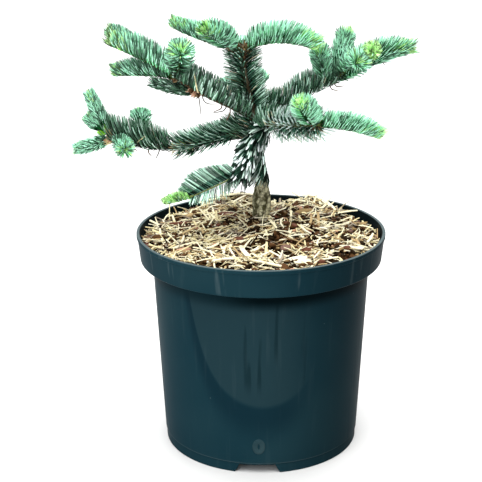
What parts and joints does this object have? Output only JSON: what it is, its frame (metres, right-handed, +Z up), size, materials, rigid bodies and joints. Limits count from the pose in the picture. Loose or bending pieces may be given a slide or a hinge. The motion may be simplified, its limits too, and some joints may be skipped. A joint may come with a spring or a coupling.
{
  "type": "potted noble fir",
  "caption": "Young noble fir with tiered boughs of upswept blue-green needles and bright new tips, in a round dark nursery pot topped with wood shavings.",
  "frame": {"origin": "middle of the pot's underside, on the surface that the pot stands on", "axes": "+Z up along the pot's axis, -Y towards the front, where the long low bough hangs and the pot has a drainage notch, +X to the right seen from the front"},
  "size_m": [0.2649, 0.19, 0.3351],
  "materials": {
    "pot": "dark teal moulded plastic, satin with soft reflections",
    "potting_mix": "straw-coloured wood shavings with brown bark, dry and rough",
    "bark": "olive-brown bark with ridges and leaf scars, matte",
    "needles": "blue-green needles with a pale bloom, mint to lime at the tips"
  },
  "bodies": {
    "root": {"pot": "pot", "potting_mix": "potting_mix", "trunk": "bark", "bough_left_upper": "bark", "bough_left_middle": "bark", "bough_front": "bark", "bough_right_upper": "bark", "bough_right_lower": "bark", "bough_back_upper": "bark", "bough_back_right": "bark", "bough_back_left": "bark", "needles_left_upper": "needles", "needles_left_middle": "needles", "needles_front": "needles", "needles_right_upper": "needles", "needles_right_lower": "needles", "needles_back_upper": "needles", "needles_back_right": "needles", "needles_back_left": "needles", "needles_top_left": "needles", "needles_top_right": "needles", "needles_top_back": "needles", "needles_leader": "needles"}
  },
  "joints": []
}
